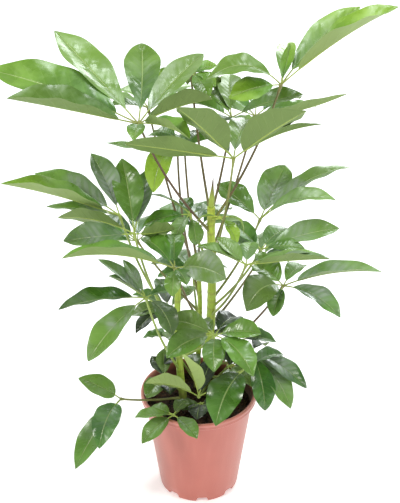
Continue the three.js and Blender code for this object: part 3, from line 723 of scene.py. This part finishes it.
def foot_section():
    """From the middle of the pot's underside out: the pad, the floor and the foot ring."""
    ring_inside = BASE_RADIUS - FOOT_RING_WIDTH
    return [
        (CENTRE_FOOT_RADIUS - 1, 0),
        (CENTRE_FOOT_RADIUS, 0.6),
        (CENTRE_FOOT_RADIUS + 1.6, FLOOR_HEIGHT - 1),
        (CENTRE_FOOT_RADIUS + 3, FLOOR_HEIGHT),
        (ring_inside - 2, FLOOR_HEIGHT),
        (ring_inside - 1, FLOOR_HEIGHT - 1),
        (ring_inside, 0.8),
        (ring_inside + 0.8, 0),
        (BASE_RADIUS - 2.4, 0),
        (BASE_RADIUS - 0.9, 0.4),
        (BASE_RADIUS, 1.6),
        (wall_radius(BASE_ROUNDING), BASE_ROUNDING),
    ]


def rim_section(band):
    """From the rim band's foot, at a height, up over its grooves to the inner edge of the lip."""
    section = [
        (wall_radius(band), band - 0.8),
        (wall_radius(band) + 1, band),
        (RIM_RADIUS - 1.6, band),
        (RIM_RADIUS - 0.6, band + 0.3),
        (RIM_RADIUS - 0.2, band + 1.2),
    ]
    for height in GROOVE_HEIGHTS:
        section.append((RIM_RADIUS - 0.15, band + height - GROOVE_HALF_WIDTH))
        section.append((RIM_RADIUS - 0.15 - GROOVE_DEPTH, band + height))
        section.append((RIM_RADIUS - 0.1, band + height + GROOVE_HALF_WIDTH))
    lip_inside = RIM_RADIUS - RIM_LIP_WIDTH
    return section + [
        (RIM_RADIUS, POT_HEIGHT - 2.4),
        (RIM_RADIUS - 0.3, POT_HEIGHT - 1.1),
        (RIM_RADIUS - 1.1, POT_HEIGHT - 0.25),
        (RIM_RADIUS - 2.2, POT_HEIGHT),
        (lip_inside + 0.8, POT_HEIGHT - 0.1),
        (lip_inside, POT_HEIGHT - 0.9),
    ]


def wall_section(bottom, top, inwards):
    """Points along the wall between two heights, that far in from its outside."""
    return [(wall_radius(height) - inwards, height) for height in np.linspace(bottom, top, WALL_ROWS)]


def pot_section():
    """The pot's section of (radius, height), out from its underside, up the wall and down the inside."""
    band = POT_HEIGHT - RIM_BAND_HEIGHT
    floor_top = FLOOR_HEIGHT + FLOOR
    outside = wall_section(NOTCH_HEIGHT + 2, band - 2.5, 0)
    inside = wall_section(band - 2, floor_top + 2, WALL) + [(wall_radius(floor_top) - WALL - 2, floor_top)]
    return foot_section() + outside + rim_section(band) + inside


def notch_lift(azimuth):
    """How high the foot ring is cut at an azimuth: round-cornered arches, in mm."""
    step = 360 / NOTCH_COUNT
    aside = (azimuth - FIRST_NOTCH_AZIMUTH + step / 2) % step - step / 2
    distance = abs(math.radians(aside)) * BASE_RADIUS
    inside = 1 - distance / (NOTCH_WIDTH / 2)
    if inside <= 0:
        return 0
    return NOTCH_HEIGHT * min(1, (inside / NOTCH_CORNER) ** NOTCH_ROUNDNESS)


def build_pot(material):
    section = pot_section()
    lifts = [notch_lift(360 * i / POT_SEGMENTS) for i in range(POT_SEGMENTS)]
    rim_top = max(range(len(section)), key=lambda row: section[row][1])
    points, looks = [], []
    for row, (radius, height) in enumerate(section):
        # Marks the points of the inside wall, which the pot's material darkens with painted shade.
        inside = float(row > rim_top + 2)
        for (x, y), lift in zip(circle(radius, POT_SEGMENTS), lifts):
            level = max(height, lift) if radius > BASE_RADIUS / 2 else height
            points.append((x, y, level))
            looks.append((inside, 0, level / POT_HEIGHT))
    underside, floor = len(points), len(points) + 1
    points += [(0, 0, 0), (0, 0, FLOOR_HEIGHT + FLOOR)]
    looks += [(0, 0, 0), (0, 0, 0)]
    faces = ring_faces(len(section), POT_SEGMENTS) + flipped(fan_faces(underside, 0, POT_SEGMENTS))
    faces += fan_faces(floor, underside - POT_SEGMENTS, POT_SEGMENTS)
    pot = Surface()
    pot.add(np.array(points) * MM, faces, 0, np.array(looks))
    return pot.piece("nursery_pot", "pot", "pot", [material])


# ---- the soil ----


def soil_radius(height):
    """The soil's radius at a height, just inside the pot's wall."""
    return wall_radius(height) - WALL - SOIL_GAP


def soil_height(x, y):
    """The soil's surface at a point, all in mm."""
    crown = SOIL_CROWN * (1 - (x * x + y * y) / (wall_radius(SOIL_TOP) - WALL) ** 2)
    lumps = [share * noise.noise(Vector((x * waves, y * waves, z))) for waves, share, z in SOIL_LUMPS]
    return SOIL_TOP + crown + SOIL_ROUGHNESS * sum(lumps) - SOIL_SINK


def add_crumb(soil, chance):
    """One lump of peat, bark or fibre lying on the soil."""
    smallest, largest = CRUMB_RADIUS
    distance = (soil_radius(SOIL_TOP) - largest) * math.sqrt(chance.random())
    azimuth = chance.uniform(0, 2 * math.pi)
    x, y = distance * math.cos(azimuth), distance * math.sin(azimuth)
    size = smallest + (largest - smallest) * chance.random() ** 3
    stretch = chance.uniform(*CRUMB_STRETCH)
    heading = chance.uniform(0, math.pi)
    points = []
    for level, width in CRUMB_RINGS:
        for side in range(CRUMB_SIDES):
            angle = 2 * math.pi / CRUMB_SIDES * side + level
            reach = size * width * chance.uniform(*CRUMB_UNEVENNESS)
            along, across = reach * stretch * math.cos(angle), reach * math.sin(angle)
            points.append((
                x + along * math.cos(heading) - across * math.sin(heading),
                y + along * math.sin(heading) + across * math.cos(heading),
                soil_height(x, y) + size * (level * CRUMB_HEIGHT + CRUMB_LIFT),
            ))
    corners = range(len(points))
    faces = ring_faces(len(CRUMB_RINGS), CRUMB_SIDES)
    faces += [tuple(corners[:CRUMB_SIDES])[::-1], tuple(corners[-CRUMB_SIDES:])]
    soil.add(np.array(points) * MM, faces, 0, (chance.random() ** 2, 0, 0))


def build_soil(material):
    points = []
    for ring in range(1, SOIL_RINGS + 1):
        radius = soil_radius(SOIL_TOP) * ring / SOIL_RINGS
        points += [(x, y, soil_height(x, y)) for x, y in circle(radius, SOIL_SEGMENTS)]
    bottom = FLOOR_HEIGHT + FLOOR + SOIL_GAP
    points += [(x, y, bottom) for x, y in circle(soil_radius(bottom), SOIL_SEGMENTS)]
    top, base = len(points), len(points) + 1
    points += [(0, 0, soil_height(0, 0)), (0, 0, bottom)]
    faces = flipped(ring_faces(SOIL_RINGS + 1, SOIL_SEGMENTS)) + fan_faces(top, 0, SOIL_SEGMENTS)
    faces += flipped(fan_faces(base, top - SOIL_SEGMENTS, SOIL_SEGMENTS))
    soil = Surface()
    soil.add(np.array(points) * MM, faces, 0, (0, 0, 0))
    chance = random.Random(11)
    for _ in range(CRUMB_COUNT):
        add_crumb(soil, chance)
    return soil.piece("potting_soil", "soil", "soil", [material])


# ---- stems ----


def stem_at(name, height):
    """Where a stem's middle is at a height, and its radius there, in mm."""
    base, top, points = STEMS[name]
    points = np.array(points, float)
    middle = [np.interp(height, points[:, 2], points[:, axis]) for axis in (0, 1)]
    if height < points[0, 2]:
        slope = (points[1] - points[0]) / (points[1, 2] - points[0, 2])
        middle = (points[0] + slope * (height - points[0, 2]))[:2]
    share = (height - points[0, 2]) / (points[-1, 2] - points[0, 2])
    return np.array([*middle, height]), base + (top - base) * share


def build_stem(name, material):
    """A stem with a swollen scar where each petiole leaves it and at each lost leaf."""
    chance = random.Random(name)
    start, end = STEMS[name][2][0][2], STEMS[name][2][-1][2]
    joints = [row[2] for row in LEAVES if row[1] == name]
    lost = [start + LOST_LEAF_START]
    while lost[-1] < end - LOST_LEAF_STOP:
        lost.append(lost[-1] + chance.uniform(*LOST_LEAF_SPACING))
    clear = [height for height in lost if min(abs(height - j) for j in joints) > LOST_LEAF_CLEARANCE]
    path, radii, looks = [], [], []
    for height in np.linspace(start - ROOT_DEPTH, end, STEM_RINGS):
        middle, radius = stem_at(name, height)
        scar = max(math.exp(-((height - s) / SCAR_REACH) ** 2) for s in joints + clear)
        path.append(middle)
        radii.append(radius * (1 + SCAR_SWELL * scar))
        looks.append((scar, 0, (height - start) / FRESH_HEIGHT))
    path, radii = dome(path, radii, STEM_DOME)
    looks += [looks[-1]] * (len(path) - len(looks))
    stem = Surface()
    stem.add_tube(path, radii, STEM_SIDES, looks)
    return stem.piece(name + "_bark", "stem", name, [material])


def build_bud(stalk):
    """The folded sheaths at the tall stem's tip, with one brown point."""
    middle, radius = stem_at("stem_tall", BUD_BOTTOM)
    bud = Surface()
    shares = np.linspace(0, 1, BUD_RINGS)
    looks = look_along(np.clip((shares - BUD_BROWN_START) * BUD_BROWNING, 0, 1), BUD_YOUTH)
    for turn, size, reach in BUD_SHEATHS:
        aside = np.array([math.cos(turn), math.sin(turn), 0]) * radius * BUD_SPREAD * (1 - size)
        path = middle + aside + np.outer(shares * reach, [BUD_LEAN, 0, BUD_LENGTH])
        swell = 1 + BUD_SWELL * np.sin(math.pi * np.minimum(1, shares * 1.7))
        radii = radius * BUD_RADIUS_SHARE * size * swell * (1 - shares) ** BUD_TAPER
        bud.add_tube(path, np.maximum(BUD_POINT_RADIUS, radii), BUD_SIDES, looks)
    return bud.piece("shoot_tip", "new_growth", "shoot_bud", [stalk])


# ---- leaves ----


def bearing(compass, rise):
    """The unit vector at a compass bearing and a rise above the horizontal."""
    a, b = math.radians(compass), math.radians(rise)
    return np.array([math.cos(b) * math.cos(a), math.cos(b) * math.sin(a), math.sin(b)])


def petiole_path(stem, height, knuckle):
    """The middle line of a petiole, from inside its stem to its knuckle, in mm."""
    start, end = stem_at(stem, height)[0], np.array(knuckle, float)
    length = np.linalg.norm(end - start)
    outward = np.array([end[0] - start[0], end[1] - start[1], 0])
    outward /= np.linalg.norm(outward)
    middle = (start + end) / 2 + outward * PETIOLE_BOW_OUT * length
    middle[2] -= PETIOLE_BOW_DOWN * length
    shares = np.linspace(0, 1, PETIOLE_STEPS + 1)[:, None]
    return start * (1 - shares) ** 2 + middle * 2 * shares * (1 - shares) + end * shares**2


def add_petiole(leaf, stem, height, knuckle, purple, youth):
    path = petiole_path(stem, height, knuckle)
    shares = np.linspace(0, 1, len(path))
    radii = read_off(PETIOLE_RADII, shares)
    tint = read_off(PETIOLE_TINT, shares) * purple
    path, radii = dome(path, radii, KNUCKLE_DOME)
    looks = look_along(np.append(tint, [tint[-1]] * (len(path) - len(tint))), youth)
    leaf.add_tube(path, radii, PETIOLE_SIDES, looks, STALK_SLOT)


def seated_tip(node, knuckle, compass, rise, length):
    """Where the frame has the leaflet's tip, near its nominal bearing, in mm from the knuckle."""
    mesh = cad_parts[node].data
    places = np.zeros(len(mesh.vertices) * 3)
    mesh.vertices.foreach_get("co", places)
    offsets = places.reshape(-1, 3) / MM - knuckle
    tips = offsets[abs(np.linalg.norm(offsets, axis=1) - length) < 0.5]
    return tips[np.argmax(tips @ bearing(compass, rise))]


def outline(shares, fullest, point):
    """Half the width of a blade along it, as a share of its most."""
    rounded = np.sin(math.pi * shares**fullest) ** BLADE_ROUNDNESS
    return rounded * (1 - point * shares**8)


class Leaflet:
    """One blade on its stalklet: its directions, its size and its own small differences."""

    def __init__(self, node, knuckle, row, shape, chance):
        compass, rise, self.length, lean, width, bow = (*row, *USUAL_LEAFLET[len(row) :])
        self.knuckle = np.array(knuckle, float)
        tip = seated_tip(node, self.knuckle, compass, rise, self.length)
        rise = math.degrees(math.asin(tip[2] / np.linalg.norm(tip)))
        self.along = tip / np.linalg.norm(tip)
        level = np.array([-tip[1], tip[0], 0]) / math.hypot(tip[0], tip[1])
        self.arch = np.cross(self.along, level)
        roll = math.radians(lean * level[1])
        self.across = level * math.cos(roll) + self.arch * math.sin(roll)
        self.half_width = (LEAFLET_WIDTH_BASE + LEAFLET_WIDTH_SHARE * self.length) / 2 * width
        usual_bow = np.clip(LEAFLET_BOW - LEAFLET_BOW_PER_DEGREE * rise, *LEAFLET_BOW_RANGE)
        self.bow = usual_bow if bow is None else bow
        usual = USUAL_FOLD * chance.uniform(*FOLDS), chance.uniform(*FULLEST_PLACES), chance.uniform(*TWISTS)
        self.fold, self.fullest, twist = shape or usual
        self.twist = math.radians(twist)
        self.sweep = chance.uniform(*SWEEPS)
        self.ripple_height = chance.uniform(*RIPPLE_HEIGHTS)
        self.ripples = chance.uniform(*RIPPLE_COUNTS)
        self.phases = [chance.uniform(0, 2 * math.pi) for _ in range(2)]
        self.point = chance.uniform(*POINTEDNESS)

    def middle(self, shares):
        """Points of the midrib at shares of the whole length, stalklet included, in mm."""
        shares = np.asarray(shares, float)[:, None]
        hump = 4 * shares * (1 - shares)
        return (
            self.knuckle
            + self.along * self.length * shares
            + self.arch * self.bow * self.length * hump
            + self.across * self.sweep * self.length * hump
        )

    def blade(self, along, across):
        """Points of the blade's middle surface and its upward normals, one row for each share along it."""
        shares = STALKLET_SHARE + (1 - STALKLET_SHARE) * along
        middle = self.middle(shares)
        slope = self.arch * self.bow * self.length * 4
        tangent = self.along * self.length + np.outer(1 - 2 * shares, slope)
        up = np.cross(tangent, self.across)
        up /= np.linalg.norm(up, axis=1)[:, None]
        turn = (self.twist * (along - TWIST_START))[:, None]
        sideways = self.across * np.cos(turn) + up * np.sin(turn)
        up = up * np.cos(turn) - self.across * np.sin(turn)
        half = self.half_width * np.maximum(outline(along, self.fullest, self.point), BLADE_END_WIDTH)
        fold = self.fold * (np.sqrt(across**2 + FOLD_ROUNDING) - FOLD_LOWERING)
        lift = np.outer(half, fold - MARGIN_CURL * across**2)
        for side, phase in zip((-1, 1), self.phases):
            ripple = np.sin(2 * math.pi * self.ripples * along + phase) * half * self.ripple_height
            lift += np.outer(ripple, np.where(across * side > 0, abs(across) ** RIPPLE_REACH, 0))
        points = (
            middle[:, None, :]
            + sideways[:, None, :] * np.outer(half, across)[:, :, None]
            + up[:, None, :] * lift[:, :, None]
        )
        return points, up


def blade_shares():
    """Rows along a blade, closer together towards its two ends."""
    even = np.linspace(0, 1, BLADE_ROWS)
    return 0.5 * even + 0.5 * (1 - np.cos(math.pi * even)) / 2


def in_shade(points):
    """How deep inside the plant points are, 0 outside it to DEEPEST_SHADE low at its middle."""
    inward = 1 - np.hypot(points[:, 0], points[:, 1]) / (SHADE_REACH * MM)
    downward = (SHADE_TOP * MM - points[:, 2]) / (SHADE_FADE * MM)
    return DEEPEST_SHADE * np.clip(inward * 2, 0, 1) * np.clip(downward, 0, 1)


def blade_faces(rows, columns):
    """The faces of a blade's top and underside, which share the points of its margins, and their slots."""
    top = np.arange(rows * columns).reshape(rows, columns)
    bottom = top.copy()
    bottom[:, 1:-1] = rows * columns + np.arange(rows * (columns - 2)).reshape(rows, columns - 2)
    faces, slots = [], []
    for r in range(rows - 1):
        for c in range(columns - 1):
            faces.append((top[r, c], top[r + 1, c], top[r + 1, c + 1], top[r, c + 1]))
            faces.append((bottom[r, c], bottom[r, c + 1], bottom[r + 1, c + 1], bottom[r + 1, c]))
            slots += [TOP_SLOT, UNDERSIDE_SLOT]
    for r, first, second in ((0, top, bottom), (rows - 1, bottom, top)):
        for c in range(columns - 1):
            corners = [first[r, c], first[r, c + 1], second[r, c + 1], second[r, c]]
            faces.append(tuple(dict.fromkeys(corners)))
            slots.append(UNDERSIDE_SLOT)
    return faces, slots


def both_sides(top, bottom):
    """The points of the top, then those of the underside between its margins, as one list."""
    return np.concatenate([top.reshape(-1, 3), bottom[:, 1:-1].reshape(-1, 3)])


def add_blade(leaf, leaflet, look, painted_sheen):
    """A closed, thin blade whose two faces meet at its margins."""
    across = np.array([-x for x in BLADE_COLUMNS[:0:-1]] + list(BLADE_COLUMNS))
    along = blade_shares()
    points, up = leaflet.blade(along, across)
    thick = up[:, None, :] * (BLADE_THICKNESS / 2 * (1 - across**4))[None, :, None]
    places = both_sides(points + thick, points - thick) * MM
    # The third value of each mark is the strength of the leaflet's painted sheen.
    marks = np.stack([*np.meshgrid(across, along), np.full(points.shape[:2], painted_sheen)], 2)
    blade = both_sides(marks, marks)
    looks = np.tile(look, (len(places), 1))
    looks[:, 1] += in_shade(places)
    leaf.add(places, *blade_faces(*points.shape[:2]), looks, blade, abs(blade[:, 0]) == 1)


def add_rib(leaf, leaflet, purple, youth):
    """The stalklet, which goes on as the raised midrib under the blade."""
    shares = np.linspace(0, RIB_END, RIB_STEPS)
    inside = (shares - STALKLET_SHARE) / (1 - STALKLET_SHARE)
    size = RIB_THINNEST + (1 - RIB_THINNEST) * min(1, leaflet.length / RIB_USUAL_LENGTH)
    radii = read_off(RIB_RADII, inside) * size
    _, up = leaflet.blade(np.clip(inside, 0, 1), np.array([0.0]))
    sink = np.clip(inside / RIB_SINK_LENGTH, 0, 1) * radii * RIB_SINK
    path = leaflet.middle(shares) - up * sink[:, None]
    tint = read_off(RIB_TINT, shares) * purple
    leaf.add_tube(path, radii, RIB_SIDES, look_along(tint, max(youth, RIB_LEAST_YOUTH)), STALK_SLOT)


def given(table, name, number, usual):
    """What a table gives for a leaflet, or else the usual value."""
    return table.get(name, {}).get(number, usual)


def build_leaf(row, materials):
    name, stem, height, knuckle, leaflets = row
    usual = read_off(YOUTH_BY_HEIGHT, knuckle[2])
    youth, purple = YOUTH.get(name, usual), PURPLE.get(name, 0.0)
    leaf = Surface()
    add_petiole(leaf, stem, height, knuckle, purple, youth)
    for number, leaflet_row in enumerate(leaflets):
        chance = random.Random(f"{name} {number}")
        leaflet = Leaflet(name, knuckle, leaflet_row, given(SHAPES, name, number, None), chance)
        age = given(LEAFLET_YOUTH, name, number, youth)
        shade = given(SHADED, name, number, chance.random())
        look = (age, shade, chance.random())
        # The leaflet's painted greyish sheen, less the younger it is.
        painted_sheen = given(PAINTED_SHEEN, name, number, USUAL_PAINTED_SHEEN * chance.random()) * (1 - age)
        add_blade(leaf, leaflet, look, painted_sheen)
        add_rib(leaf, leaflet, purple, youth)
    slot = "new_growth" if name.startswith("young") else "leaf"
    return leaf.piece(name + "_foliage", slot, name, materials)


def build_plant():
    stalk, stem = stalk_material(), stem_material()
    build_pot(pot_material())
    build_soil(soil_material())
    for name in STEMS:
        build_stem(name, stem)
    build_bud(stalk)
    foliage = [leaf_top(), leaf_underside(), stalk]
    for row in LEAVES:
        build_leaf(row, foliage)


# ---- the stage ----

CAMERA_PLACE = (0.002, -1.82, 1.513)
CAMERA_TILT = 59.6  # degrees up from straight down
CAMERA_LENS = 97.84  # mm on a 36 mm sensor
FLOOR_HALF = 6
FLOOR_GLOW = 0.38
WORLD_GLOW = 0.36

# Soft lights: (place, size, power in watts, colour), all aimed at the same point.
AIM = (0, 0, 0.42)
WARM = (1.0, 0.975, 0.93)
COOL = (0.93, 0.98, 1.0)
LIGHTS = [
    ((-1.3, -1.2, 1.9), 0.6, 21, WARM),
    ((1.5, -0.9, 1.5), 0.6, 11, WARM),
    ((0.15, -0.2, 3.2), 0.9, 30, COOL),
    ((1.1, 0.6, 3.2), 0.6, 13, COOL),
    ((0.9, 2.1, 1.3), 1.2, 26, COOL),
    ((-1.3, 1.7, 1.5), 0.9, 14, COOL),
]


def build_floor():
    corners = [(x * FLOOR_HALF, y * FLOOR_HALF, 0) for x, y in ((-1, -1), (1, -1), (1, 1), (-1, 1))]
    mesh = bpy.data.meshes.new("floor")
    mesh.from_pydata(corners, [], [(0, 1, 2, 3)])
    shader = Shader("floor", roughness=0.9, specular=0.1)
    shader.surface.inputs["Emission Color"].default_value = (1, 1, 1, 1)
    shader.surface.inputs["Emission Strength"].default_value = FLOOR_GLOW
    mesh.materials.append(shader.finish(srgb(250, 250, 250)))
    in_scene("floor", mesh)


def build_lights():
    for place, size, power, colour in LIGHTS:
        light = bpy.data.lights.new("softbox", "AREA")
        light.shape, light.size, light.energy, light.color = "DISK", size, power, colour
        lamp = in_scene("softbox", light)
        lamp.location = place
        lamp.rotation_euler = (Vector(AIM) - Vector(place)).to_track_quat("-Z", "Y").to_euler()
    world = bpy.data.worlds.new("studio")
    world.use_nodes = True
    background = world.node_tree.nodes["Background"]
    background.inputs["Color"].default_value = (1, 1, 1, 1)
    background.inputs["Strength"].default_value = WORLD_GLOW
    bpy.context.scene.world = world


def build_camera():
    camera = in_scene("camera", bpy.data.cameras.new("camera"))
    camera.location = CAMERA_PLACE
    camera.rotation_euler = (math.radians(CAMERA_TILT), 0, 0)
    camera.data.lens = CAMERA_LENS
    bpy.context.scene.camera = camera
    bpy.context.scene.view_settings.view_transform = "Standard"


build_camera()
build_floor()
build_lights()
build_plant()
